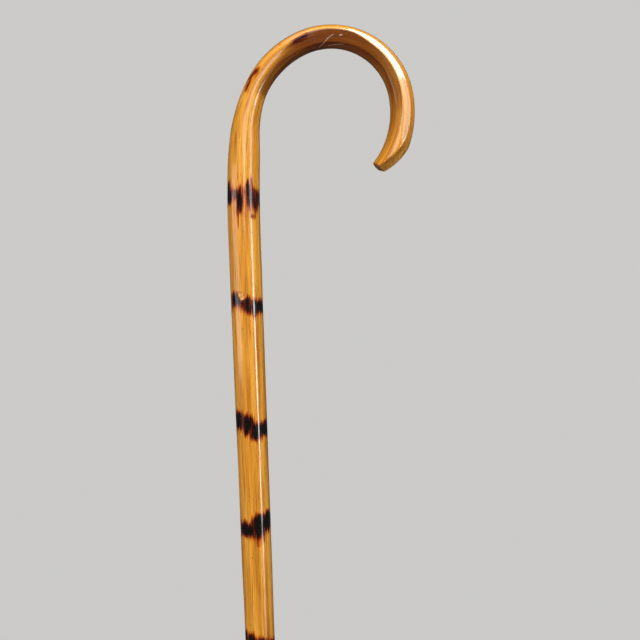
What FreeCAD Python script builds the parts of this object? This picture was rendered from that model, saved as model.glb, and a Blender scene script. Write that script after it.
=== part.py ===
"""Single point cane: a crook-handled walking stick bent from one wooden rod, with a push-on rubber
ferrule and the steel washer that lies in the bottom of its socket.

The frame, in millimetres: the origin is the centre of the ferrule's sole, +Z runs up the shaft,
and the crook curls over in the XZ plane and opens towards +X. Y is across the crook.
"""

import FreeCAD
import Part

import math
import os

# Whole stick
overall_height = 914.0          # floor to the top of the crook, a 36 inch stick
shaft_top_diameter = 22.6       # where the straight shaft ends and the bend begins
shaft_low_diameter = 17.2       # just above the ferrule
tip_diameter = 16.0             # the turned end inside the ferrule
tip_shoulder_height = 48.5      # where the turned end begins, just above the ferrule
tip_chamfer = 1.0

# The crook: bends that follow on from each other, from the shaft to the nose, each with the
# radius of its centre line in millimetres and its angle in degrees
bends = [(860.0, 4.8), (97.0, 18.2), (65.0, 44.5), (49.5, 103.0), (67.0, 49.5)]
section_spacing = 8.0           # at most, along the centre line, from one section to the next

# Thickness of the bent part at distances along its centre line from the end of the straight shaft:
# radially, in the plane of the crook, and across it
radial_thicknesses = [(50.0, shaft_top_diameter), (112.0, 16.4), (170.0, 16.2), (250.0, 17.2)]
across_thicknesses = [(50.0, shaft_top_diameter), (112.0, 18.8)]

# The nose: the end of the crook, shaved thinner on its outer side
nose_facet_length = 25.0        # along the centre line
nose_facet_depth = 7.5          # taken off the outer side at the very end
nose_facet_lean = 30.0          # degrees that each of the two facets leans to its own side

# Ferrule
ferrule_height = 48.0
sole_radius = 17.0
sole_edge_round = 1.6
foot_height = 7.0               # the upright rim above the sole
neck_radius = 12.4              # where the flare meets the sleeve
neck_height = 21.0
sleeve_radius = 11.6            # just under the lip
lip_radius = 12.5
lip_height = 4.0
socket_floor_height = 12.0
socket_clearance = 0.05         # round the turned end, on the radius
mouth_chamfer = 1.2
tread_depth = 1.6
tread_grooves = [(5.0, 7.0), (9.4, 11.4), (13.2, 14.8)]   # inner and outer radius of each ring

# Washer
washer_radius = 7.7
washer_hole_radius = 2.6
washer_thickness = 1.5
end_clearance = 0.1             # between the washer and the end of the wood

tip_end_height = socket_floor_height + washer_thickness + end_clearance

UP = FreeCAD.Vector(0, 0, 1)


def turn_of(heading):
    """The direction along the centre line, and the outward direction, at a heading in radians
    measured from +Z towards +X."""
    along = FreeCAD.Vector(math.sin(heading), 0, math.cos(heading))
    outward = FreeCAD.Vector(-math.cos(heading), 0, math.sin(heading))
    return along, outward


def centre_line(start):
    """Stations along the bends, as (distance, point, heading), from the end of the straight shaft."""
    stations = [(0.0, start, 0.0)]
    for radius, degrees in bends:
        distance, point, heading = stations[-1]
        _, outward = turn_of(heading)
        centre = point - outward * radius
        steps = math.ceil(radius * math.radians(degrees) / section_spacing)
        for step in range(1, steps + 1):
            turned = math.radians(degrees) * step / steps
            _, outward_there = turn_of(heading + turned)
            point_there = centre + outward_there * radius
            stations.append((distance + radius * turned, point_there, heading + turned))
    return stations


def thickness_at(distance, thicknesses):
    """A thickness that eases from each (distance, thickness) pair to the next."""
    first_distance, thickness = thicknesses[0]
    for next_distance, next_thickness in thicknesses[1:]:
        share = (distance - first_distance) / (next_distance - first_distance)
        share = min(max(share, 0.0), 1.0)
        thickness += (next_thickness - thickness) * share * share * (3 - 2 * share)
        first_distance = next_distance
    return thickness


def section(station):
    """The elliptical section of the crook at a station, as a closed wire."""
    distance, point, heading = station
    along, outward = turn_of(heading)
    across_half = thickness_at(distance, across_thicknesses) / 2
    radial_half = thickness_at(distance, radial_thicknesses) / 2
    ellipse = Part.Ellipse(FreeCAD.Vector(0, 0, 0), across_half, radial_half).toShape()
    turn = FreeCAD.Rotation(FreeCAD.Vector(0, 1, 0), outward, along, "ZXY")
    ellipse.Placement = FreeCAD.Placement(point, turn)
    return Part.Wire([ellipse])


def make_crook(stations):
    """The bent part as one solid: a smooth surface through its sections, closed at both ends."""
    sections = [section(station) for station in stations]
    side = Part.BSplineSurface()
    side.buildFromNSections([wire.toNurbs().Edges[0].Curve for wire in sections])
    return Part.Solid(Part.Shell([side.toShape(), Part.Face(sections[0]), Part.Face(sections[-1])]))


def crook_rise():
    """Height of the crook's highest point above the end of the straight shaft."""
    distance = 0.0
    heading = 0.0
    rise = 0.0
    for radius, degrees in bends:
        turned = min(math.radians(degrees), math.pi / 2 - heading)
        rise += radius * (math.sin(heading + turned) - math.sin(heading))
        distance += radius * turned
        heading += turned
    return rise + thickness_at(distance, radial_thicknesses) / 2


def nose_cutter(end, side):
    """A block whose lower face is one shaved facet of the nose. Side is +1 or -1 along Y."""
    distance, point, heading = end
    along, outward = turn_of(heading)
    size = 4 * nose_facet_length
    block = Part.makeBox(size, size, size, FreeCAD.Vector(-size / 2, -size / 2, 0))
    slope = math.degrees(math.atan2(nose_facet_depth, nose_facet_length))
    stand = FreeCAD.Rotation(FreeCAD.Vector(0, 1, 0), along, outward, "ZXY")
    lean = FreeCAD.Rotation(along, -side * nose_facet_lean)
    dip = FreeCAD.Rotation(FreeCAD.Vector(0, 1, 0), slope)
    edge = point + outward * (thickness_at(distance, radial_thicknesses) / 2 - nose_facet_depth)
    block.Placement = FreeCAD.Placement(edge, lean.multiply(dip).multiply(stand))
    return block


def make_stick():
    """The turned end, the tapered shaft and the crook, as one solid."""
    bend_start_height = overall_height - crook_rise()
    taper_length = bend_start_height - tip_shoulder_height
    tip_length = tip_shoulder_height - tip_end_height
    tip = Part.makeCylinder(tip_diameter / 2, tip_length, FreeCAD.Vector(0, 0, tip_end_height), UP)
    end_edge = [edge for edge in tip.Edges if edge.BoundBox.ZMax < tip_end_height + 0.01]
    tip = tip.makeChamfer(tip_chamfer, end_edge)
    shaft_foot = FreeCAD.Vector(0, 0, tip_shoulder_height)
    shaft = Part.makeCone(shaft_low_diameter / 2, shaft_top_diameter / 2, taper_length, shaft_foot, UP)
    stations = centre_line(FreeCAD.Vector(0, 0, bend_start_height))
    crook = make_crook(stations)
    for side in (-1, 1):
        crook = crook.cut(nose_cutter(stations[-1], side))
    return tip.fuse([shaft, crook]).removeSplitter()


def revolved(outline):
    """A solid of revolution about the shaft's axis from an outline of (radius, height) points."""
    points = [FreeCAD.Vector(radius, 0, height) for radius, height in outline]
    face = Part.Face(Part.makePolygon(points + points[:1]))
    return face.revolve(FreeCAD.Vector(0, 0, 0), UP, 360)


def make_ferrule():
    """The rubber tip: a flared foot with ring treads, a sleeve with a lip, and a blind socket."""
    socket_radius = tip_diameter / 2 + socket_clearance
    lip_foot = ferrule_height - lip_height
    lip_overhang = lip_radius - sleeve_radius
    body = revolved([
        (0, 0),
        (sole_radius, 0),
        (sole_radius, foot_height),
        (neck_radius, neck_height),
        (sleeve_radius, lip_foot - lip_overhang),
        (lip_radius, lip_foot),
        (lip_radius, ferrule_height - mouth_chamfer),
        (lip_radius - mouth_chamfer, ferrule_height),
        (socket_radius + mouth_chamfer, ferrule_height),
        (socket_radius, ferrule_height - mouth_chamfer),
        (socket_radius, socket_floor_height),
        (0, socket_floor_height),
    ])
    sole_edge = [edge for edge in body.Edges if edge.BoundBox.ZMax < 0.01 and edge.Length > 1]
    body = body.makeFillet(sole_edge_round, sole_edge)
    for inner, outer in tread_grooves:
        ring = Part.makeCylinder(outer, tread_depth).cut(Part.makeCylinder(inner, tread_depth))
        body = body.cut(ring)
    return body


def make_washer():
    """The loose steel disc on the floor of the ferrule's socket."""
    base = FreeCAD.Vector(0, 0, socket_floor_height)
    disc = Part.makeCylinder(washer_radius, washer_thickness, base, UP)
    return disc.cut(Part.makeCylinder(washer_hole_radius, washer_thickness, base, UP))


os.makedirs("parts", exist_ok=True)
nodes = {
    "bentwood_stick": make_stick(),
    "rubber_ferrule": make_ferrule(),
    "steel_washer": make_washer(),
}
for name, shape in nodes.items():
    box = shape.BoundBox
    print(name, "solids", len(shape.Solids), "valid", shape.isValid(), "volume", round(shape.Volume))
    print("  x %.2f to %.2f, y %.2f to %.2f, z %.2f to %.2f" % (
        box.XMin, box.XMax, box.YMin, box.YMax, box.ZMin, box.ZMax))
    shape.exportStep("parts/%s.step" % name)
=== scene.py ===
"""A crook-handled walking cane: one bentwood stick, scorched in bands and varnished, on a rubber
ferrule with a steel washer in its socket. The frame is that of the CAD model: the origin is under
the ferrule, +Z runs up the shaft and the crook opens to +X. Lengths are in metres and named angles
in degrees, where no comment says otherwise.

A place on the stick is a distance along its centre line, counted up the shaft and round the crook
from the end of the straight shaft, and an angle round it: 0 is the front, the side that faces -Y,
90 the inner side of the crook and -90 the outer side.
"""

import math

import bpy
import numpy as np
from mathutils import Matrix, Vector


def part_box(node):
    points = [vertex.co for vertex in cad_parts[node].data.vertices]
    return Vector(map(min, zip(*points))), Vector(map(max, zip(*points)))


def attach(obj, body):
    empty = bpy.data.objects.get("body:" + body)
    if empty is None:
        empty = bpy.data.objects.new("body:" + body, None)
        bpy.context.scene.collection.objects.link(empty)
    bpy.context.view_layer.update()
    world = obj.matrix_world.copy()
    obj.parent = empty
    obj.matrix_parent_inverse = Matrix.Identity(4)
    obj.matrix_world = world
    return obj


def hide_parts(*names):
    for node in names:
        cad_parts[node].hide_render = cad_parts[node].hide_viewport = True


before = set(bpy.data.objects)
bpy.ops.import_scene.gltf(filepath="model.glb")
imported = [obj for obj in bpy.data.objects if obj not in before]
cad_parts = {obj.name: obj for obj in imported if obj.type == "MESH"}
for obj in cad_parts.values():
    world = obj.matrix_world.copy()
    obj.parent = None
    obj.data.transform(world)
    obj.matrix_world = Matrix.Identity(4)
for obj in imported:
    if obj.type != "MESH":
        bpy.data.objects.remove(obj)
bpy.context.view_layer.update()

MM = 0.001
STICK_LOW, STICK_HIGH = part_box("bentwood_stick")
_, FERRULE_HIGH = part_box("rubber_ferrule")
WASHER_LOW, WASHER_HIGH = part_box("steel_washer")

# The stick, as the CAD model has it. Each bend has the radius of its centre line and its angle.
BENDS = [(860 * MM, 4.8), (97 * MM, 18.2), (65 * MM, 44.5), (49.5 * MM, 103.0), (67 * MM, 49.5)]
TIP_RADIUS = 8.0 * MM
TIP_CHAMFER = 1.0 * MM
SHOULDER_HEIGHT = 48.5 * MM
SHAFT_LOW_RADIUS = 8.6 * MM
SHAFT_TOP_RADIUS = 11.3 * MM

# Half the crook's thickness at distances along it: in its plane, and across it
RADIAL_HALVES = [
    (50 * MM, SHAFT_TOP_RADIUS), (112 * MM, 8.2 * MM), (170 * MM, 8.1 * MM), (250 * MM, 8.6 * MM),
]
ACROSS_HALVES = [(50 * MM, SHAFT_TOP_RADIUS), (112 * MM, 9.4 * MM)]

# The nose, shaved thinner on its outer side by two flats that meet in a ridge
NOSE_LEAN = 30.0                # degrees from outward to each flat's own side
NOSE_START = 246 * MM           # where the flats begin, along the centre line
NOSE_BEND = 274 * MM            # where they turn in towards the end
NOSE_DEPTHS = (9.1 * MM, 8.1 * MM, 1.0 * MM)   # from the centre line, at the start, bend and end
NOSE_CURVE = 1.45               # power of the curve from the bend to the end
NOSE_SHARPNESS = 45.0           # of the edges round the flats
END_ROUND = 1.1 * MM
END_FULLNESS = 0.96             # of the end's rounding, where 1 is a whole quarter circle

# The crook's shaved flats. Each has the angles of its two edges, which change along the crook, and
# the distances between which it grows in and fades out. The same flats are on the back.
RIDGE = [(135 * MM, -6.0), (165 * MM, -22.0), (184 * MM, -20.0), (208 * MM, -3.5), (250 * MM, 2.0)]
OUTER_EDGE = [(0, -33.0), (250 * MM, -33.0), (270 * MM, -37.0)]
MIDDLE_EDGE = [(158 * MM, 2.0), (185 * MM, 6.0)]
INNER_EDGE = [(150 * MM, 40.0), (230 * MM, 36.0)]
INNERMOST_EDGE = [(150 * MM, 78.0), (230 * MM, 74.0)]
FLATS = [
    (RIDGE, OUTER_EDGE, 112 * MM, 146 * MM, 262 * MM, 290 * MM),
    (RIDGE, MIDDLE_EDGE, 152 * MM, 162 * MM, 178 * MM, 200 * MM),
    (RIDGE, INNER_EDGE, 128 * MM, 152 * MM, 245 * MM, 275 * MM),
    (INNER_EDGE, INNERMOST_EDGE, 150 * MM, 178 * MM, 250 * MM, 280 * MM),
]
FLAT_RISE = 0.9 * MM            # how far a flat stands off where it has faded out
FLAT_SHARPNESS = 160.0          # of the edges between flats
FAR = 1.0                       # a radius that lies outside everything

# Unevenness of the stick's surface: its share of the radius, the lengths of its waves and its seed
UNEVENNESS = [(0.006, (40 * MM, 160 * MM), 3), (0.0015, (9 * MM, 25 * MM), 4)]
UNEVEN_RISE = 10 * MM           # it comes in over this length above the shoulder
UNEVEN_FADE = 40 * MM           # and fades out over this length before the end of the nose

# The stick's mesh: segments round, the spacing of its rings at distances along it, closest at the
# chipped knot and at the nose, and where its columns turn to follow the ridges
SEGMENTS = 104
RING_SPACINGS = [
    (-140 * MM, 1.6 * MM), (-110 * MM, 0.9 * MM),
    (-60 * MM, 0.9 * MM), (-52 * MM, 0.5 * MM), (-32 * MM, 0.5 * MM), (-24 * MM, 0.9 * MM),
    (262 * MM, 0.9 * MM), (274 * MM, 0.35 * MM),
]
COLUMNS_TURN = (60 * MM, 110 * MM)

# The ferrule and its washer, as the CAD model has them
FERRULE_TOP = FERRULE_HIGH.z
SOLE_RADIUS = FERRULE_HIGH.x
FOOT_HEIGHT = 7.0 * MM
NECK_RADIUS = 12.4 * MM         # where the flare meets the sleeve
NECK_HEIGHT = 21.0 * MM
SLEEVE_RADIUS = 11.6 * MM       # just under the lip
LIP_RADIUS = 12.5 * MM
LIP_FOOT = FERRULE_TOP - 4.0 * MM
MOUTH_CHAMFER = 1.2 * MM
SOCKET_RADIUS = TIP_RADIUS + 0.05 * MM
SOCKET_FLOOR = WASHER_LOW.z
TREADS = [(5.0 * MM, 7.0 * MM), (9.4 * MM, 11.4 * MM), (13.2 * MM, 14.8 * MM)]
TREAD_DEPTH = 1.6 * MM
WASHER_HOLE_RADIUS = 2.6 * MM

# What only this model adds to them
GRIP_GROOVES = [27 * MM, 31 * MM, 35 * MM]      # heights of the grooves round the sleeve
GROOVE_DEPTH = 0.45 * MM
GROOVE_HALF_WIDTH = 0.7 * MM
FERRULE_ROUNDING = 0.9 * MM
WASHER_ROUNDING = 0.25 * MM
SEAM_RISE = 0.12 * MM           # height of the mould lines on the ferrule's two sides
SEAM_RADIUS = 11 * MM           # they show only further out than this
AXIS = 0.001 * MM               # the radius of an outline's points on the axis
OUTLINE_SPACING = 1.2 * MM      # from point to point along an outline's sides


def ease(x, start, end):
    """0 before start and 1 after end, with a smooth rise between."""
    t = np.clip((x - start) / (end - start), 0.0, 1.0)
    return t * t * (3 - 2 * t)


def eased_steps(x, steps):
    """A value that eases from each (place, value) to the next."""
    value = steps[0][1] + 0 * x
    for (place, here), (next_place, there) in zip(steps, steps[1:]):
        value = value + (there - here) * ease(x, place, next_place)
    return value


def waves(s, angle, lengths, seed, count=7):
    """Smooth unevenness over the stick, about -1 to 1: waves of random direction along distance s
    and round angle, in radians, with lengths along the stick between the two given."""
    random = np.random.default_rng(seed)
    total = 0 * s * angle
    for _ in range(count):
        wavelength = random.uniform(*lengths)
        turns = random.integers(0, 4)
        phase = random.uniform(0, 2 * math.pi)
        total = total + np.sin(2 * math.pi * s / wavelength + turns * angle + phase)
    return total / math.sqrt(count)


# ---------------------------------------------------------------- the stick's centre line

def heading_vectors(heading):
    """Along the centre line, and outward from the crook's inside, at headings in radians."""
    zero = 0 * heading
    along = np.stack([np.sin(heading), zero, np.cos(heading)], axis=-1)
    outward = np.stack([-np.cos(heading), zero, np.sin(heading)], axis=-1)
    return along, outward


def crook_rise():
    """Height of the crook's top above the end of the straight shaft."""
    distance, heading, rise = 0.0, 0.0, 0.0
    for radius, degrees in BENDS:
        turned = min(math.radians(degrees), math.pi / 2 - heading)
        rise += radius * (math.sin(heading + turned) - math.sin(heading))
        distance += radius * turned
        heading += turned
    return rise + float(eased_steps(np.array(distance), RADIAL_HALVES))


CROOK_START_HEIGHT = STICK_HIGH.z - crook_rise()
CROOK_LENGTH = sum(radius * math.radians(degrees) for radius, degrees in BENDS)
TIP_END = STICK_LOW.z - CROOK_START_HEIGHT
SHOULDER = SHOULDER_HEIGHT - CROOK_START_HEIGHT


def centre_line(distance):
    """Points and headings of the centre line at distances along it."""
    points = np.stack([0 * distance, 0 * distance, CROOK_START_HEIGHT + distance], axis=-1)
    headings = 0 * distance
    start, heading = 0.0, 0.0
    point = np.array([0.0, 0.0, CROOK_START_HEIGHT])
    for radius, degrees in BENDS:
        turned = math.radians(degrees)
        centre = point - heading_vectors(np.array(heading))[1] * radius
        here = distance > start
        heading_here = heading + (distance[here] - start) / radius
        points[here] = centre + heading_vectors(heading_here)[1] * radius
        headings[here] = heading_here
        start += radius * turned
        heading += turned
        point = centre + heading_vectors(np.array(heading))[1] * radius
    return points, headings


# ---------------------------------------------------------------- the stick's surface

def shaft_radius(distance):
    """Radius of the turned tip and of the tapered shaft."""
    taper = SHAFT_LOW_RADIUS + (SHAFT_TOP_RADIUS - SHAFT_LOW_RADIUS) * (distance - SHOULDER) / -SHOULDER
    chamfer = TIP_RADIUS - TIP_CHAMFER + (distance - TIP_END)
    tip = np.minimum(TIP_RADIUS, chamfer)
    return np.where(distance < SHOULDER, tip, taper)


def both_least(first, second, sharpness):
    """The lesser of two radii, with the edge where they cross slightly rounded."""
    least, most = np.minimum(first, second), np.maximum(first, second)
    return least * (1 + (least / most) ** sharpness) ** (-1 / sharpness)


def ellipse_radius(angle, across, radial):
    """Radius of an elliptical section at an angle."""
    return 1 / np.sqrt((np.cos(angle) / across) ** 2 + (np.sin(angle) / radial) ** 2)


def chord_radius(angle, edges, across, radial):
    """Radius at an angle to the line through the ellipse's points at two edge angles."""
    ends = []
    for edge in edges:
        reach = ellipse_radius(edge, across, radial)
        ends.append((reach * np.cos(edge), reach * np.sin(edge)))
    (first_x, first_y), (last_x, last_y) = ends
    run_x, run_y = last_x - first_x, last_y - first_y
    slant = np.cos(angle) * run_y - np.sin(angle) * run_x
    least_slant = 0.01 * MM
    slant = np.where(np.abs(slant) > least_slant, slant, least_slant)
    reach = (first_x * last_y - first_y * last_x) / slant
    return np.where(reach > 0, reach, FAR)


def flattened(radius, distance, angle, across, radial):
    """The section with the crook's flats shaved off it, on the front and on the back."""
    for first, last, start, full, fade, end in FLATS:
        amount = ease(distance, start, full) * (1 - ease(distance, fade, end))
        edges = [np.radians(eased_steps(distance, edge)) for edge in (first, last)]
        for mirrored in (angle, math.pi - angle):
            turned = (mirrored + math.pi) % (2 * math.pi) - math.pi
            flat = chord_radius(turned, edges, across, radial)
            flat = flat + (1 - amount) * FLAT_RISE
            radius = both_least(radius, flat, FLAT_SHARPNESS)
    return radius


def columns(distance):
    """Angles of the mesh's columns. Two of them follow the ridges on the front and on the back."""
    even = np.linspace(-math.pi, math.pi, SEGMENTS, endpoint=False)[None, :]
    ridge = np.radians(eased_steps(distance, RIDGE)) * ease(distance, *COLUMNS_TURN)
    return even + ridge * np.cos(even) * np.abs(np.cos(even))


def nose_cut(radius, distance, angle):
    """The section with the nose's two flats shaved off its outer side."""
    start, bend, end = NOSE_DEPTHS
    share = np.clip((distance - NOSE_BEND) / (CROOK_LENGTH - NOSE_BEND), 0.0, 1.0)
    depth = start + (bend - start) * ease(distance, NOSE_START, NOSE_BEND)
    depth = depth + (end - bend) * share ** NOSE_CURVE
    least_toward = 0.05
    for lean in (-NOSE_LEAN, NOSE_LEAN):
        toward = np.cos(angle + math.pi / 2 - math.radians(lean))
        cut = depth / np.maximum(toward, least_toward)
        cut = np.where(distance > NOSE_START, cut, FAR)
        radius = both_least(radius, cut, NOSE_SHARPNESS)
    return radius


def rounded_end(radius, distance):
    """The section drawn in where the nose's end is rounded over."""
    share = np.clip((distance - CROOK_LENGTH + END_ROUND) / END_ROUND, 0.0, 1.0)
    return radius - END_ROUND * (1 - np.sqrt(1 - END_FULLNESS * share ** 2))


def ring_distances():
    """Distances of the stick's rings."""
    places = [TIP_END, TIP_END + TIP_CHAMFER]
    while places[-1] < CROOK_LENGTH:
        places.append(places[-1] + float(eased_steps(np.array(places[-1]), RING_SPACINGS)))
    places[-1] = CROOK_LENGTH
    return np.array(places)


def stick_radius(distance, angle):
    """Radius of the stick's surface at distances and angles."""
    across = np.where(distance < 0, shaft_radius(distance), eased_steps(distance, ACROSS_HALVES))
    radial = np.where(distance < 0, shaft_radius(distance), eased_steps(distance, RADIAL_HALVES))
    radius = ellipse_radius(angle, across, radial)
    radius = flattened(radius, distance, angle, across, radial)
    radius = nose_cut(radius, distance, angle)
    uneven = ease(distance, SHOULDER, SHOULDER + UNEVEN_RISE)
    uneven = uneven * (1 - ease(distance, CROOK_LENGTH - UNEVEN_FADE, CROOK_LENGTH))
    for share, lengths, seed in UNEVENNESS:
        radius = radius * (1 + share * uneven * waves(distance, angle, lengths, seed))
    radius = radius - dent_depth(distance, angle, radius)
    return rounded_end(radius, distance)


def stick_surface():
    """Vertices of the stick's side as rings by segments, with their distances, angles and radii."""
    distance = ring_distances()[:, None]
    angle = columns(distance)
    radius = stick_radius(distance, angle)
    points, headings = centre_line(distance[:, 0])
    _, outward = heading_vectors(headings)
    front = np.array([0.0, -1.0, 0.0])
    ray = front * np.cos(angle)[..., None] - outward[:, None, :] * np.sin(angle)[..., None]
    vertices = points[:, None, :] + ray * radius[..., None]
    return vertices, distance + 0 * angle, angle, radius


def mesh_object(name, vertices, faces, body, material):
    """A smooth-shaded piece that rides on a CAD body."""
    mesh = bpy.data.meshes.new(name)
    mesh.from_pydata([tuple(v) for v in vertices], [], faces)
    mesh.validate()
    piece = bpy.data.objects.new(name, mesh)
    bpy.context.scene.collection.objects.link(piece)
    mesh.polygons.foreach_set("use_smooth", [True] * len(mesh.polygons))
    mesh.materials.append(material)
    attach(piece, body)
    return piece


def ring_faces(rings, segments):
    """Quads between rings of vertices that go once round."""
    faces = []
    for ring in range(rings - 1):
        for here in range(segments):
            there = (here + 1) % segments
            low, high = ring * segments, (ring + 1) * segments
            faces.append((low + here, low + there, high + there, high + here))
    return faces


def add_attribute(piece, name, values):
    """Stores a number or a vector for each vertex of a piece."""
    values = np.asarray(values, np.float32).reshape(len(piece.data.vertices), -1)
    kind, field = ("FLOAT_VECTOR", "vector") if values.shape[1] == 3 else ("FLOAT", "value")
    layer = piece.data.attributes.new(name, kind, "POINT")
    layer.data.foreach_set(field, values.ravel())


# ---------------------------------------------------------------- scorching

# Scorched patches that make up the front of the upper bands, and marks on the crook. Each has its
# height in millimetres, counted from the floor along the centre line, its angle, its half height in
# millimetres, its half width in degrees and its strength.
SCORCH = [
    (795.0, -56, 4.2, 15, 0.75), (796.5, -29, 3.2, 12, 0.45),
    (793.0, -10, 8.5, 5.5, 0.75), (790.5, -8.5, 5.5, 5.5, 1.1),
    (797.5, 20, 8.5, 11, 0.6), (795.0, 33, 5.5, 7.0, 0.9), (794.0, 50, 6.0, 11, 0.35),
    (794.8, 80, 5.5, 22, 0.95), (789.5, 45, 4.5, 13, 0.3), (781.4, 37.6, 1.1, 6.0, 1.1),
    (724.5, -54, 4.4, 16, 1.1), (724.0, -33, 3.6, 10, 0.8),
    (723.0, -10, 3.6, 9.0, 1.2), (719.6, 4, 5.6, 18, 1.2), (718.6, 29, 5.4, 18, 1.1),
    (718.6, 60, 4.8, 30, 1.25),
    (640.5, -52, 6.0, 32, 1.3), (637.6, -14, 6.6, 24, 1.4), (632.8, 20, 6.2, 24, 1.3),
    (634.3, 64, 5.0, 36, 1.3),
    (565.2, -40, 5.4, 38, 1.3), (567.0, 17, 9.0, 24, 1.4), (570.0, 62, 6.2, 34, 1.3),
    (558.5, 12, 3.5, 9, 0.1),
    (881.0, -34, 2.4, 8.0, 1.0), (877.0, -42, 2.0, 6.0, 0.8), (871.0, -36, 2.0, 4.0, 0.2),
    # The smear on the crook's ridge below is dark partly from scorching and partly as painted shade on that
    # facet
    (918.5, -8, 4.0, 8.0, 0.32),
]
BANDS = [795, 721, 637, 567, 486, 408, 330, 255, 172, 95]      # heights of all the bands
LISTED_BANDS = 4                # the first of them have their front in the list above
SCORCH_SOFTNESS = 2.7           # millimetres over which a patch deepens by 1
SCORCH_BLEND = 0.3              # how far patches that meet run into one
LEAST_DEPTH = -3.0              # that a patch counts with, far outside it
UNSCORCHED = -1.5               # about what the patches add up to, far from them all

# Random patches, for the rest of the bands: the angles that they fill on the listed bands, and the
# ranges that their sizes and places are drawn from, in millimetres and degrees
BACK = (100.0, 285.0)
BAND_TILTS = (-4, 4)            # from the band's middle up to its highest place
PATCH_HALF_WIDTHS = (13, 27)
PATCH_LIFTS = (-1.5, 1.5)
PATCH_HALF_HEIGHTS = (4.2, 7.8)
PATCH_STRENGTHS = (1.0, 1.3)
PATCH_STEPS = (0.7, 1.05)       # from one patch to the next, as a share of its width
PATCH_SEED = 11

# How deep the crook's inner face is darkened at distances along it, partly by staining and partly by painted
# shade on the side turned from the light. The darkening begins at the ridge.
# Each kind of edge has the degrees past the ridge where it begins and where it is full, and the
# gentle edge turns into the sharp one between two distances.
STAIN_AND_SHADE_DEPTHS = [(99 * MM, 0.0), (107 * MM, 0.74), (140 * MM, 0.92), (160 * MM, 1.0), (205 * MM, 0.95),
                (235 * MM, 0.78), (262 * MM, 0.35), (285 * MM, 0.10)]
GENTLE_EDGE = (2, 40)
SHARP_EDGE = (-2, 2.5)
EDGE_SHARPENS = (130 * MM, 150 * MM)

# Dents: height and angle as for a patch, half height and half width in millimetres, and depth
CHIPS = [(727.4, -17.0, 1.9, 1.6, 0.5 * MM), (725.4, -13.0, 1.7, 1.5, 0.6 * MM)]
DENTS = [*CHIPS, (723.4, -9.0, 1.2, 1.2, 0.7 * MM), (781.4, 37.6, 0.9, 0.8, 0.25 * MM)]
DENT_WALL = (0.6, 1.15)         # where a dent's wall begins and ends, as a share of its half size
CHIP_RADIUS = 10 * MM           # turns an angle at the chips into a length

# Pale scratches on the crook's inner face, each from one distance and angle to another, with its
# half width. The last is a knock.
SCRATCHES = [
    ((175.8 * MM, 5.0), (171.5 * MM, 26.0), 0.36 * MM),
    ((171.5 * MM, 26.0), (164.5 * MM, 66.0), 0.26 * MM),
    ((172.0 * MM, 66.0), (184.5 * MM, 46.0), 0.26 * MM),
    ((180.6 * MM, 7.0), (182.0 * MM, 3.0), 0.7 * MM),
]
UNROLLED_RADIUS = 9.0 * MM      # turns an angle into a length on the unrolled surface


def scorch_patches():
    """The listed patches, and random ones on the back and on the lower bands."""
    random = np.random.default_rng(PATCH_SEED)
    patches = list(SCORCH)
    for index, height in enumerate(BANDS):
        first, last = BACK if index < LISTED_BANDS else (0.0, 360.0)
        tilt = random.uniform(*BAND_TILTS)
        angle = first
        while angle < last:
            half_width = random.uniform(*PATCH_HALF_WIDTHS)
            middle = angle + half_width
            lift = tilt * math.sin(math.radians(middle)) + random.uniform(*PATCH_LIFTS)
            half_height = random.uniform(*PATCH_HALF_HEIGHTS)
            strength = random.uniform(*PATCH_STRENGTHS)
            patches.append((height + lift, middle, half_height, half_width, strength))
            angle += 2 * half_width * random.uniform(*PATCH_STEPS)
    return patches


def apart(distance, angle, patch):
    """Height in millimetres and angle in degrees from the middle of a patch."""
    height = (distance + CROOK_START_HEIGHT) / MM
    turned = (np.degrees(angle) - patch[1] + 180) % 360 - 180
    return height - patch[0], turned


def scorch_field(distance, angle):
    """How deep a place lies in the scorched patches: 0 at the edge of one and less outside. It
    rises by 1 over SCORCH_SOFTNESS, up to what the patch's strength allows, and more where patches
    meet."""
    total = 0 * distance * angle
    tiny = 1e-6
    for patch in scorch_patches():
        _, _, half_height, half_width, strength = patch
        height, turned = apart(distance, angle, patch)
        arc = np.radians(turned) * UNROLLED_RADIUS / MM
        half_arc = math.radians(half_width) * UNROLLED_RADIUS / MM
        reach = np.sqrt((height / half_height) ** 2 + (arc / half_arc) ** 2 + tiny)
        slope = (height / half_height ** 2) ** 2 + (arc / half_arc ** 2) ** 2 + tiny / half_arc ** 2
        depth = (1 - reach) * reach / np.sqrt(slope) / SCORCH_SOFTNESS
        deepest = 1.6 * strength - 0.6
        depth = np.clip(depth, LEAST_DEPTH, deepest)
        total = total + np.exp(depth / SCORCH_BLEND)
    return SCORCH_BLEND * np.log(total) + LEAST_DEPTH * chipped(distance, angle)


def dent_share(distance, angle, radius, dent):
    """1 in the middle of a dent and 0 outside it."""
    _, _, half_height, half_width, _ = dent
    height, turned = apart(distance, angle, dent)
    across = np.radians(turned) * radius / MM
    reach = np.sqrt((height / half_height) ** 2 + (across / half_width) ** 2)
    return 1 - ease(reach, *DENT_WALL)


def chipped(distance, angle):
    """1 where the knot has chipped away, 0 elsewhere."""
    return np.max([dent_share(distance, angle, CHIP_RADIUS, chip) for chip in CHIPS], axis=0)


def dent_depth(distance, angle, radius):
    """Depth of the chipped knot and the pits."""
    return np.max([dent[-1] * dent_share(distance, angle, radius, dent) for dent in DENTS], axis=0)


def stain_and_painted_shade(distance, angle):
    """1 on the crook's darker inner face, whose darkening is partly staining and partly painted shade, 0 on
    its outer side and on the shaft.
    """
    past_ridge = np.degrees(np.arcsin(np.sin(angle))) - eased_steps(distance, RIDGE)
    gentle = ease(past_ridge, *GENTLE_EDGE)
    sharp = ease(past_ridge, *SHARP_EDGE)
    inner = gentle + (sharp - gentle) * ease(distance, *EDGE_SHARPENS)
    return inner * eased_steps(distance, STAIN_AND_SHADE_DEPTHS)


# ---------------------------------------------------------------- materials

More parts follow.
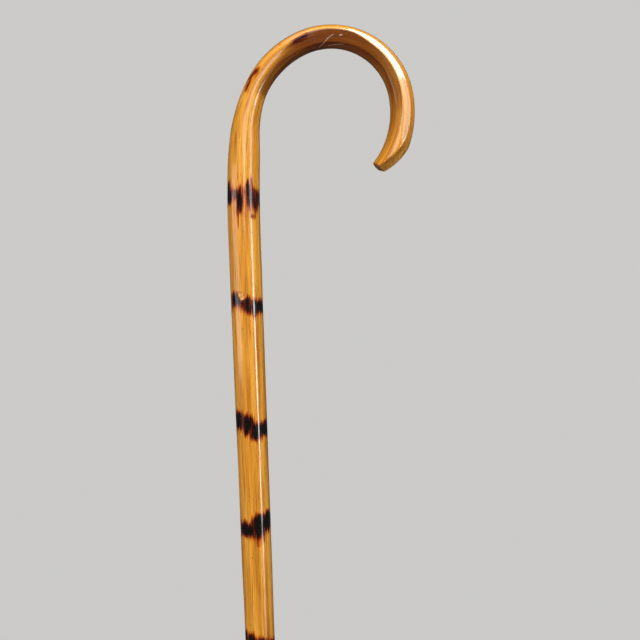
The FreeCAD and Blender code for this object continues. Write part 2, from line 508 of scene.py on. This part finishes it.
def new_material(name):
    """A material with its node tree and its shader."""
    material = bpy.data.materials.new(name)
    material.use_nodes = True
    tree = material.node_tree
    return material, tree, tree.nodes["Principled BSDF"]


def attribute(tree, name):
    """A node that reads what add_attribute stored."""
    node = tree.nodes.new("ShaderNodeAttribute")
    node.attribute_name = name
    return node


def fill_sockets(tree, sockets, values):
    """Links each value to its socket, or sets it there where it is a plain value."""
    for socket, value in zip(sockets, values):
        if isinstance(value, bpy.types.NodeSocket):
            tree.links.new(value, socket)
        else:
            socket.default_value = value


def math_node(tree, operation, *values, clamp=False):
    """The result of an operation on numbers. Each may be a socket or a plain number."""
    node = tree.nodes.new("ShaderNodeMath")
    node.operation = operation
    node.use_clamp = clamp
    fill_sockets(tree, node.inputs, values)
    return node.outputs[0]


def vector_node(tree, operation, *values):
    """A node for an operation on vectors. Each may be a socket or a plain vector."""
    node = tree.nodes.new("ShaderNodeVectorMath")
    node.operation = operation
    fill_sockets(tree, node.inputs, values)
    return node


def streaks(tree, grain, across, along, detail=2.0, shift=0.0):
    """Noise that is drawn out along the grain, with its usual size across and along it."""
    mapping = tree.nodes.new("ShaderNodeMapping")
    mapping.inputs["Location"].default_value = (shift, 2 * shift, 3 * shift)
    mapping.inputs["Scale"].default_value = (1 / across, 1 / across, 1 / along)
    tree.links.new(grain, mapping.inputs["Vector"])
    noise = tree.nodes.new("ShaderNodeTexNoise")
    noise.inputs["Scale"].default_value = 1.0
    noise.inputs["Detail"].default_value = detail
    tree.links.new(mapping.outputs[0], noise.inputs["Vector"])
    return noise.outputs["Fac"]


def ramp(tree, value, stops):
    """A colour ramp of (position, colour) stops."""
    node = tree.nodes.new("ShaderNodeValToRGB")
    elements = node.color_ramp.elements
    while len(elements) < len(stops):
        elements.new(1.0)
    for element, (position, colour) in zip(elements, stops):
        element.position = position
        element.color = (*colour, 1.0)
    tree.links.new(value, node.inputs["Fac"])
    return node.outputs["Color"]


def grey_ramp(tree, value, stops):
    """A ramp of (position, brightness) stops."""
    return ramp(tree, value, [(position, (grey, grey, grey)) for position, grey in stops])


def mix(tree, factor, first, second, blend="MIX"):
    """Mixes two colours. Either may be a socket or a plain colour."""
    node = tree.nodes.new("ShaderNodeMix")
    node.data_type = "RGBA"
    node.blend_type = blend
    colours = [(*colour, 1.0) if isinstance(colour, tuple) else colour for colour in (first, second)]
    sockets = [node.inputs[name] for name in ("Factor", "A", "B")]
    fill_sockets(tree, sockets, [factor, *colours])
    return node.outputs["Result"]


def bump(tree, height, distance):
    """A normal for a bumpy surface, which stands up by the distance where the height is 1."""
    node = tree.nodes.new("ShaderNodeBump")
    node.inputs["Distance"].default_value = distance
    tree.links.new(height, node.inputs["Height"])
    return node.outputs["Normal"]


def scratches(tree, unrolled):
    """1 along the middle of a scratch, 0 away from them all."""
    fullness = 1.6
    total = 0.0
    for (distance, angle), (end_distance, end_angle), half_width in SCRATCHES:
        start = Vector((UNROLLED_RADIUS * math.radians(angle), distance, 0))
        run = Vector((UNROLLED_RADIUS * math.radians(end_angle), end_distance, 0)) - start
        place = vector_node(tree, "SUBTRACT", unrolled, start).outputs["Vector"]
        share = vector_node(tree, "DOT_PRODUCT", place, run / run.length_squared).outputs["Value"]
        share = math_node(tree, "ADD", share, 0.0, clamp=True)
        nearest = vector_node(tree, "SCALE", run)
        tree.links.new(share, nearest.inputs["Scale"])
        away = vector_node(tree, "DISTANCE", place, nearest.outputs["Vector"]).outputs["Value"]
        here = math_node(tree, "MULTIPLY_ADD", away, -fullness / half_width, fullness, clamp=True)
        total = math_node(tree, "MAXIMUM", here, total)
    return total


def varnished_wood():
    """Honey-coloured wood with long streaks, fine grain and flecks, scorched where the mesh says and
    darkened on the crook's inner face by staining and painted shade, under a glossy coat."""
    material, tree, shader = new_material("varnished_wood")
    grain = attribute(tree, "grain").outputs["Vector"]
    scorch = attribute(tree, "scorch").outputs["Fac"]
    # Where the crook's inner face is darkened, partly by staining and partly by painted shade
    inner = attribute(tree, "stain_and_painted_shade").outputs["Fac"]
    end_grain = attribute(tree, "end_grain").outputs["Fac"]
    bare = attribute(tree, "bare").outputs["Fac"]
    unrolled = attribute(tree, "unrolled").outputs["Vector"]
    # The inner face's darker brown: partly staining, partly painted shade
    stain_and_shade_tint = (0.235, 0.128, 0.014)
    bare_tint = (0.84, 0.42, 0.11)
    scratch_colour = (0.74, 0.58, 0.50)

    broad = streaks(tree, grain, 4.5 * MM, 90 * MM, detail=3.0)
    colour = ramp(tree, broad, [
        (0.30, (0.48, 0.165, 0.012)),
        (0.48, (0.72, 0.295, 0.026)),
        (0.68, (0.86, 0.410, 0.064)),
    ])
    fine = streaks(tree, grain, 1.0 * MM, 38 * MM, detail=5.0, shift=7.0)
    fine_tint = ramp(tree, fine, [
        (0.33, (0.56, 0.40, 0.26)),
        (0.46, (0.96, 0.94, 0.90)),
        (0.60, (1.0, 1.0, 1.0)),
        (0.72, (1.12, 1.16, 1.5)),
    ])
    colour = mix(tree, 0.85, colour, fine_tint, "MULTIPLY")
    fibre = streaks(tree, grain, 0.35 * MM, 14 * MM, shift=17.0)
    fibre_tint = grey_ramp(tree, fibre, [(0.30, 0.74), (0.48, 1.0), (0.70, 1.08)])
    colour = mix(tree, 0.8, colour, fibre_tint, "MULTIPLY")
    pores = streaks(tree, grain, 0.55 * MM, 2.6 * MM, detail=1.0, shift=3.0)
    pore_tint = ramp(tree, pores, [(0.235, (0.28, 0.16, 0.10)), (0.30, (1.0, 1.0, 1.0))])
    colour = mix(tree, 0.9, colour, pore_tint, "MULTIPLY")
    # Darkens the crook's inner face: partly staining, partly painted shade
    stained_and_shaded = mix(tree, 1.0, colour, stain_and_shade_tint, "MULTIPLY")
    colour = mix(tree, inner, colour, stained_and_shaded)

    # The scorch field is made ragged along the grain, and then brought between 0 and 1
    fringe = streaks(tree, grain, 0.8 * MM, 9 * MM, detail=4.0, shift=5.0)
    ragged = streaks(tree, grain, 2.6 * MM, 16 * MM, shift=21.0)
    raggedness = math_node(tree, "ADD", fringe, ragged)
    raggedness = math_node(tree, "MULTIPLY_ADD", raggedness, 2.3, -2.3)
    burnt = math_node(tree, "ADD", scorch, raggedness)
    burnt = math_node(tree, "MULTIPLY_ADD", burnt, 0.50, 0.40, clamp=True)
    burn_tint = ramp(tree, burnt, [
        (0.0, (1.0, 1.0, 1.0)),
        (0.15, (0.90, 0.72, 0.48)),
        (0.29, (0.62, 0.32, 0.13)),
        (0.42, (0.28, 0.075, 0.028)),
        (0.56, (0.070, 0.014, 0.012)),
        (0.74, (0.006, 0.003, 0.004)),
    ])
    colour = mix(tree, 1.0, colour, burn_tint, "MULTIPLY")
    bare_wood = mix(tree, 1.0, fine_tint, bare_tint, "MULTIPLY")
    bare_wood = mix(tree, 0.8, bare_wood, fibre_tint, "MULTIPLY")
    colour = mix(tree, bare, colour, bare_wood)
    scratched = math_node(tree, "MULTIPLY", scratches(tree, unrolled), fibre)
    colour = mix(tree, scratched, colour, scratch_colour)
    ends = ramp(tree, fibre, [(0.35, (0.26, 0.10, 0.015)), (0.65, (0.50, 0.21, 0.036))])
    colour = mix(tree, end_grain, colour, ends)
    tree.links.new(colour, shader.inputs["Base Color"])

    relief = streaks(tree, grain, 0.7 * MM, 16 * MM, detail=3.0, shift=9.0)
    tree.links.new(bump(tree, relief, 0.05 * MM), shader.inputs["Normal"])
    skin = streaks(tree, grain, 2.5 * MM, 22 * MM, shift=13.0)
    tree.links.new(bump(tree, skin, 0.07 * MM), shader.inputs["Coat Normal"])
    shader.inputs["Roughness"].default_value = 0.42
    shader.inputs["Specular IOR Level"].default_value = 0.15
    shader.inputs["Coat Weight"].default_value = 1.0
    shader.inputs["Coat IOR"].default_value = 1.8
    shader.inputs["Coat Roughness"].default_value = 0.12
    return material


def ferrule_rubber():
    """Black rubber with a fine moulded grain, and pale scuffs low down and on the rims."""
    material, tree, shader = new_material("ferrule_rubber")
    grain = attribute(tree, "grain").outputs["Vector"]
    height = attribute(tree, "height").outputs["Fac"]
    scuff_colour = (0.075, 0.071, 0.066)
    clouds = streaks(tree, grain, 5 * MM, 5 * MM, detail=4.0)
    colour = ramp(tree, clouds, [(0.35, (0.014, 0.013, 0.012)), (0.65, (0.026, 0.024, 0.022))])
    scuffs = streaks(tree, grain, 0.8 * MM, 1.8 * MM, detail=4.0, shift=5.0)
    low = grey_ramp(tree, height, [(0.0, 0.9), (0.30, 0.12), (1.0, 0.0)])
    worn = grey_ramp(tree, scuffs, [(0.56, 0.0), (0.76, 0.8)])
    worn = mix(tree, 1.0, worn, low, "MULTIPLY")
    colour = mix(tree, worn, colour, scuff_colour)
    tree.links.new(colour, shader.inputs["Base Color"])
    rough = grey_ramp(tree, clouds, [(0.3, 0.46), (0.7, 0.62)])
    tree.links.new(rough, shader.inputs["Roughness"])
    pimples = streaks(tree, grain, 0.35 * MM, 0.35 * MM, shift=11.0)
    tree.links.new(bump(tree, pimples, 0.03 * MM), shader.inputs["Normal"])
    shader.inputs["Specular IOR Level"].default_value = 0.4
    return material


def washer_steel():
    """Zinc-plated steel, dulled, with faint turning marks round the hole."""
    material, tree, shader = new_material("washer_steel")
    grain = attribute(tree, "grain").outputs["Vector"]
    clouds = streaks(tree, grain, 3 * MM, 6 * MM, detail=3.0)
    colour = ramp(tree, clouds, [(0.3, (0.34, 0.34, 0.35)), (0.7, (0.56, 0.57, 0.58))])
    tree.links.new(colour, shader.inputs["Base Color"])
    rings = streaks(tree, grain, 0.18 * MM, 9 * MM, shift=5.0)
    rough = grey_ramp(tree, rings, [(0.3, 0.26), (0.7, 0.44)])
    tree.links.new(rough, shader.inputs["Roughness"])
    tree.links.new(bump(tree, rings, 0.015 * MM), shader.inputs["Normal"])
    shader.inputs["Metallic"].default_value = 1.0
    return material


# ---------------------------------------------------------------- the stick

def cap(vertices, faces, ring, outward):
    """Closes the end of a tube of rings with a fan. Outward is 1 at its last ring, -1 at its first."""
    first = ring * SEGMENTS
    middle = len(vertices)
    vertices.append(np.mean(vertices[first:first + SEGMENTS], axis=0))
    for here in range(SEGMENTS):
        pair = (first + here, first + (here + 1) % SEGMENTS)
        faces.append((*pair[::outward], middle))


def make_stick():
    """The whole stick in one piece, with what its material reads at each vertex."""
    vertices, distance, angle, radius = stick_surface()
    rings = len(vertices)
    faces = ring_faces(rings, SEGMENTS)
    points = list(vertices.reshape(-1, 3))
    cap(points, faces, rings - 1, 1)
    cap(points, faces, 0, -1)
    piece = mesh_object("bentwood_crook_stick", points, faces, "stick", varnished_wood())
    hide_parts("bentwood_stick")

    tip_end_grain = 0.8
    tip_bareness = 0.85
    end_grain = ease(distance, CROOK_LENGTH - 0.5 * MM, CROOK_LENGTH - 0.2 * MM)
    end_grain = end_grain + tip_end_grain * (1 - ease(distance, TIP_END + 0.1 * MM, TIP_END + TIP_CHAMFER))
    turned_end = 1 - ease(distance, SHOULDER - 5 * MM, SHOULDER - 4 * MM)
    bare = np.maximum(chipped(distance, angle), tip_bareness * turned_end)
    grain = np.stack([radius * np.cos(angle), radius * np.sin(angle), distance], axis=-1)
    behind = np.where(np.cos(angle) < 0, 1.0, 0.0)      # keeps the scratches off the back
    unrolled = np.stack([angle * UNROLLED_RADIUS, distance, behind], axis=-1)
    # Each has its values on the side, and then at the middles of the nose's and the tip's end
    for name, side, nose, tip in (
        ("grain", grain, (0, 0, CROOK_LENGTH), (0, 0, TIP_END)),
        ("scorch", scorch_field(distance, angle), UNSCORCHED, UNSCORCHED),
        # The crook's inner face: partly staining, partly painted shade
        ("stain_and_painted_shade", stain_and_painted_shade(distance, angle), 0.0, 0.0),
        ("end_grain", end_grain, 1.0, tip_end_grain),
        ("bare", bare, 0.0, 0.0),
        ("unrolled", unrolled, (0, 0, 1), (0, 0, 1)),
    ):
        add_attribute(piece, name, np.vstack([side.reshape(rings * SEGMENTS, -1), nose, tip]))


# ---------------------------------------------------------------- the ferrule and its washer

def rounded(outline, rounding):
    """A closed outline of (radius, height) points with its corners rounded and its long sides
    divided. The rounding is one radius for all corners, less where a side is too short for it."""
    points = [Vector(point) for point in outline]
    result = []
    for before, corner, after in zip(points[-1:] + points[:-1], points, points[1:] + points[:1]):
        back, ahead = before - corner, after - corner
        reach = min(rounding, 0.45 * back.length, 0.45 * ahead.length)
        if corner.x < 2 * AXIS:
            reach = 0.0
        start, end = corner + back.normalized() * reach, corner + ahead.normalized() * reach
        if result:
            run = start - result[-1]
            steps = int(run.length / OUTLINE_SPACING)
            for _ in range(steps - 1):
                result.append(result[-1] + run / steps)
        for share in (0.0, 0.25, 0.5, 0.75, 1.0) if reach else (0.5,):
            result.append(start * (1 - share) ** 2 + corner * 2 * share * (1 - share) + end * share ** 2)
    return result


def grooved(start, end, heights, depth, half_width):
    """Points from one (radius, height) to another above it, with shallow grooves between them."""
    points = [start]
    for height in heights:
        share = (height - start[1]) / (end[1] - start[1])
        radius = start[0] + (end[0] - start[0]) * share
        points += [
            (radius, height - half_width),
            (radius - depth, height - 0.4 * half_width),
            (radius - depth, height + 0.4 * half_width),
            (radius, height + half_width),
        ]
    return points + [end]


def lathe(name, outline, segments, material, closed, seams=0.0):
    """A turned piece of the ferrule about the shaft's axis. Seams is the height of its mould lines."""
    vertices, grain, heights = [], [], []
    top = max(point.y for point in outline)
    for radius, height in outline:
        for index in range(segments):
            angle = 2 * math.pi * index / segments
            raised = seams if index % (segments // 2) == 0 and radius > SEAM_RADIUS else 0.0
            reach = radius + raised
            vertices.append((reach * math.cos(angle), reach * math.sin(angle), height))
            grain.append((radius, height, radius * angle))
            heights.append(height / top)
    faces = ring_faces(len(outline), segments)
    if closed:
        last = (len(outline) - 1) * segments
        for here in range(segments):
            there = (here + 1) % segments
            faces.append((last + here, last + there, there, here))
    piece = mesh_object(name, vertices, faces, "ferrule", material)
    add_attribute(piece, "grain", grain)
    add_attribute(piece, "height", heights)
    return piece


def make_ferrule():
    """The rubber tip, with ring treads under its sole and grip grooves round its sleeve."""
    treads = []
    for inner, outer in TREADS:
        treads += [(inner, 0), (inner, TREAD_DEPTH), (outer, TREAD_DEPTH), (outer, 0)]
    sleeve_top = (SLEEVE_RADIUS, LIP_FOOT - (LIP_RADIUS - SLEEVE_RADIUS))
    sleeve = grooved((NECK_RADIUS, NECK_HEIGHT), sleeve_top, GRIP_GROOVES, GROOVE_DEPTH, GROOVE_HALF_WIDTH)
    outline = [
        (AXIS, 0), *treads,
        (SOLE_RADIUS, 0), (SOLE_RADIUS, FOOT_HEIGHT), *sleeve,
        (LIP_RADIUS, LIP_FOOT), (LIP_RADIUS, FERRULE_TOP - MOUTH_CHAMFER),
        (LIP_RADIUS - MOUTH_CHAMFER, FERRULE_TOP), (SOCKET_RADIUS + MOUTH_CHAMFER, FERRULE_TOP),
        (SOCKET_RADIUS, FERRULE_TOP - MOUTH_CHAMFER), (SOCKET_RADIUS, SOCKET_FLOOR),
        (AXIS, SOCKET_FLOOR),
    ]
    outline = rounded(outline, FERRULE_ROUNDING)
    piece = lathe("rubber_ferrule_tip", outline, 144, ferrule_rubber(), False, SEAM_RISE)
    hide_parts("rubber_ferrule")


def make_washer():
    """The steel disc at the bottom of the ferrule's socket."""
    low, high, edge, hole = WASHER_LOW.z, WASHER_HIGH.z, WASHER_HIGH.x, WASHER_HOLE_RADIUS
    outline = rounded([(hole, low), (edge, low), (edge, high), (hole, high)], WASHER_ROUNDING)
    piece = lathe("ferrule_steel_washer", outline, 96, washer_steel(), True)
    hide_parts("steel_washer")


# ---------------------------------------------------------------- studio

FLOOR_RADIUS = 1.38
FLOOR_COLOUR = (0.62, 0.61, 0.59, 1)
SEEN_SKY_COLOUR = (0.60, 0.595, 0.58, 1)
SKY_COLOUR = (0.97, 0.98, 1.0, 1)
SKY_STRENGTH = 0.045
DAYLIGHT = (0.94, 0.97, 1.0)
LAMPLIGHT = (1.0, 0.98, 0.95)

CAMERA_TARGET = (50.6 * MM, 0.0, 707.9 * MM)
CAMERA_DISTANCE = 650 * MM
CAMERA_UP = (0.0389, 0, 1)      # the photograph is slightly turned
CROOK_MIDDLE = (65 * MM, 0, 850 * MM)
CROOK_LEFT = (20 * MM, 0, 860 * MM)
SHAFT_MIDDLE = (0, 0, 640 * MM)


def aim(item, place, target, up):
    """Puts a camera or a light at a place, looking at a target, with up upwards in its picture."""
    back = (Vector(place) - Vector(target)).normalized()
    right = Vector(up).cross(back).normalized()
    turn = Matrix((right, back.cross(right), back)).transposed()
    item.matrix_world = Matrix.Translation(place) @ turn.to_4x4()


def make_camera():
    """The photograph's view: straight on, and close to the crook."""
    data = bpy.data.cameras.new("camera")
    data.sensor_width = 36
    data.lens = 52.2
    camera = bpy.data.objects.new("camera", data)
    bpy.context.scene.collection.objects.link(camera)
    place = (CAMERA_TARGET[0], -CAMERA_DISTANCE, CAMERA_TARGET[2])
    aim(camera, place, CAMERA_TARGET, CAMERA_UP)
    bpy.context.scene.camera = camera


def area_light(name, place, target, size, watts, side=None, spread=180.0):
    """A lamp with the given width and height. Side is the direction of its width, which is level
    where none is given."""
    data = bpy.data.lights.new(name, "AREA")
    data.shape = "RECTANGLE"
    data.size, data.size_y = size
    data.energy = watts
    data.color = DAYLIGHT
    data.spread = math.radians(spread)
    light = bpy.data.objects.new(name, data)
    bpy.context.scene.collection.objects.link(light)
    back = Vector(place) - Vector(target)
    aim(light, place, target, (0, 0, 1) if side is None else back.cross(Vector(side)))
    light.visible_camera = False
    return light


def make_lights():
    """Windows that the varnish reflects, and two soft fills that it doesn't."""
    area_light("crook_window", (0.614, -0.525, 1.775), CROOK_MIDDLE, (1.14, 0.48), 17,
               side=(0.43, -0.30, -0.48))
    area_light("corner_window", (0.95, -0.73, 1.12), CROOK_MIDDLE, (0.42, 0.56), 1.8)
    area_light("ceiling_window", (-0.14, -0.24, 1.95), CROOK_MIDDLE, (0.90, 0.50), 1.6)
    area_light("shaft_window", (0.98, -0.68, 0.475), (0, 0, 0.555), (0.19, 0.83), 0.145, spread=32.0)
    area_light("front_window", (0.04, -1.16, 1.15), CROOK_LEFT, (0.72, 0.26), 1.2,
               side=(-0.56, 0.1, 0.42))
    area_light("left_window", (-1.05, -0.42, 0.83), (0, 0, 0.74), (0.80, 0.50), 1.4)
    for name, place, watts in (
        ("left_fill", (-0.75, -1.2, 1.1), 17),
        ("back_fill", (-0.5, 1.5, 1.7), 20),
    ):
        fill = area_light(name, place, SHAFT_MIDDLE, (1.2, 1.0), watts)
        fill.data.color = LAMPLIGHT
        fill.visible_glossy = False


def make_floor():
    """A pale round floor that fades out towards its edge."""
    bpy.ops.mesh.primitive_circle_add(vertices=96, radius=FLOOR_RADIUS, fill_type="NGON", location=(0, 0, 0))
    floor = bpy.context.object
    floor.name = "floor"
    material, tree, shader = new_material("floor")
    shader.inputs["Base Color"].default_value = FLOOR_COLOUR
    shader.inputs["Roughness"].default_value = 0.8
    place = tree.nodes.new("ShaderNodeTexCoord").outputs["Object"]
    distance = vector_node(tree, "LENGTH", place).outputs["Value"]
    share = math_node(tree, "DIVIDE", distance, FLOOR_RADIUS)
    solid = grey_ramp(tree, share, [(0.22, 1.0), (0.96, 0.0)])
    clear = tree.nodes.new("ShaderNodeBsdfTransparent")
    blend = tree.nodes.new("ShaderNodeMixShader")
    tree.links.new(solid, blend.inputs["Fac"])
    tree.links.new(clear.outputs[0], blend.inputs[1])
    tree.links.new(shader.outputs[0], blend.inputs[2])
    tree.links.new(blend.outputs[0], tree.nodes["Material Output"].inputs["Surface"])
    floor.data.materials.append(material)
    floor.visible_glossy = False


def make_world():
    """A dim even sky for the light, and a pale one where the camera sees it."""
    world = bpy.data.worlds.new("studio")
    bpy.context.scene.world = world
    world.use_nodes = True
    tree = world.node_tree
    sky = tree.nodes["Background"]
    sky.inputs["Color"].default_value = SKY_COLOUR
    sky.inputs["Strength"].default_value = SKY_STRENGTH
    seen = tree.nodes.new("ShaderNodeBackground")
    seen.inputs["Color"].default_value = SEEN_SKY_COLOUR
    path = tree.nodes.new("ShaderNodeLightPath")
    choice = tree.nodes.new("ShaderNodeMixShader")
    tree.links.new(path.outputs["Is Camera Ray"], choice.inputs["Fac"])
    tree.links.new(sky.outputs[0], choice.inputs[1])
    tree.links.new(seen.outputs[0], choice.inputs[2])
    tree.links.new(choice.outputs[0], tree.nodes["World Output"].inputs["Surface"])


make_camera()
make_world()
make_floor()
make_lights()
make_stick()
make_ferrule()
make_washer()

bpy.context.scene.view_settings.view_transform = "Standard"
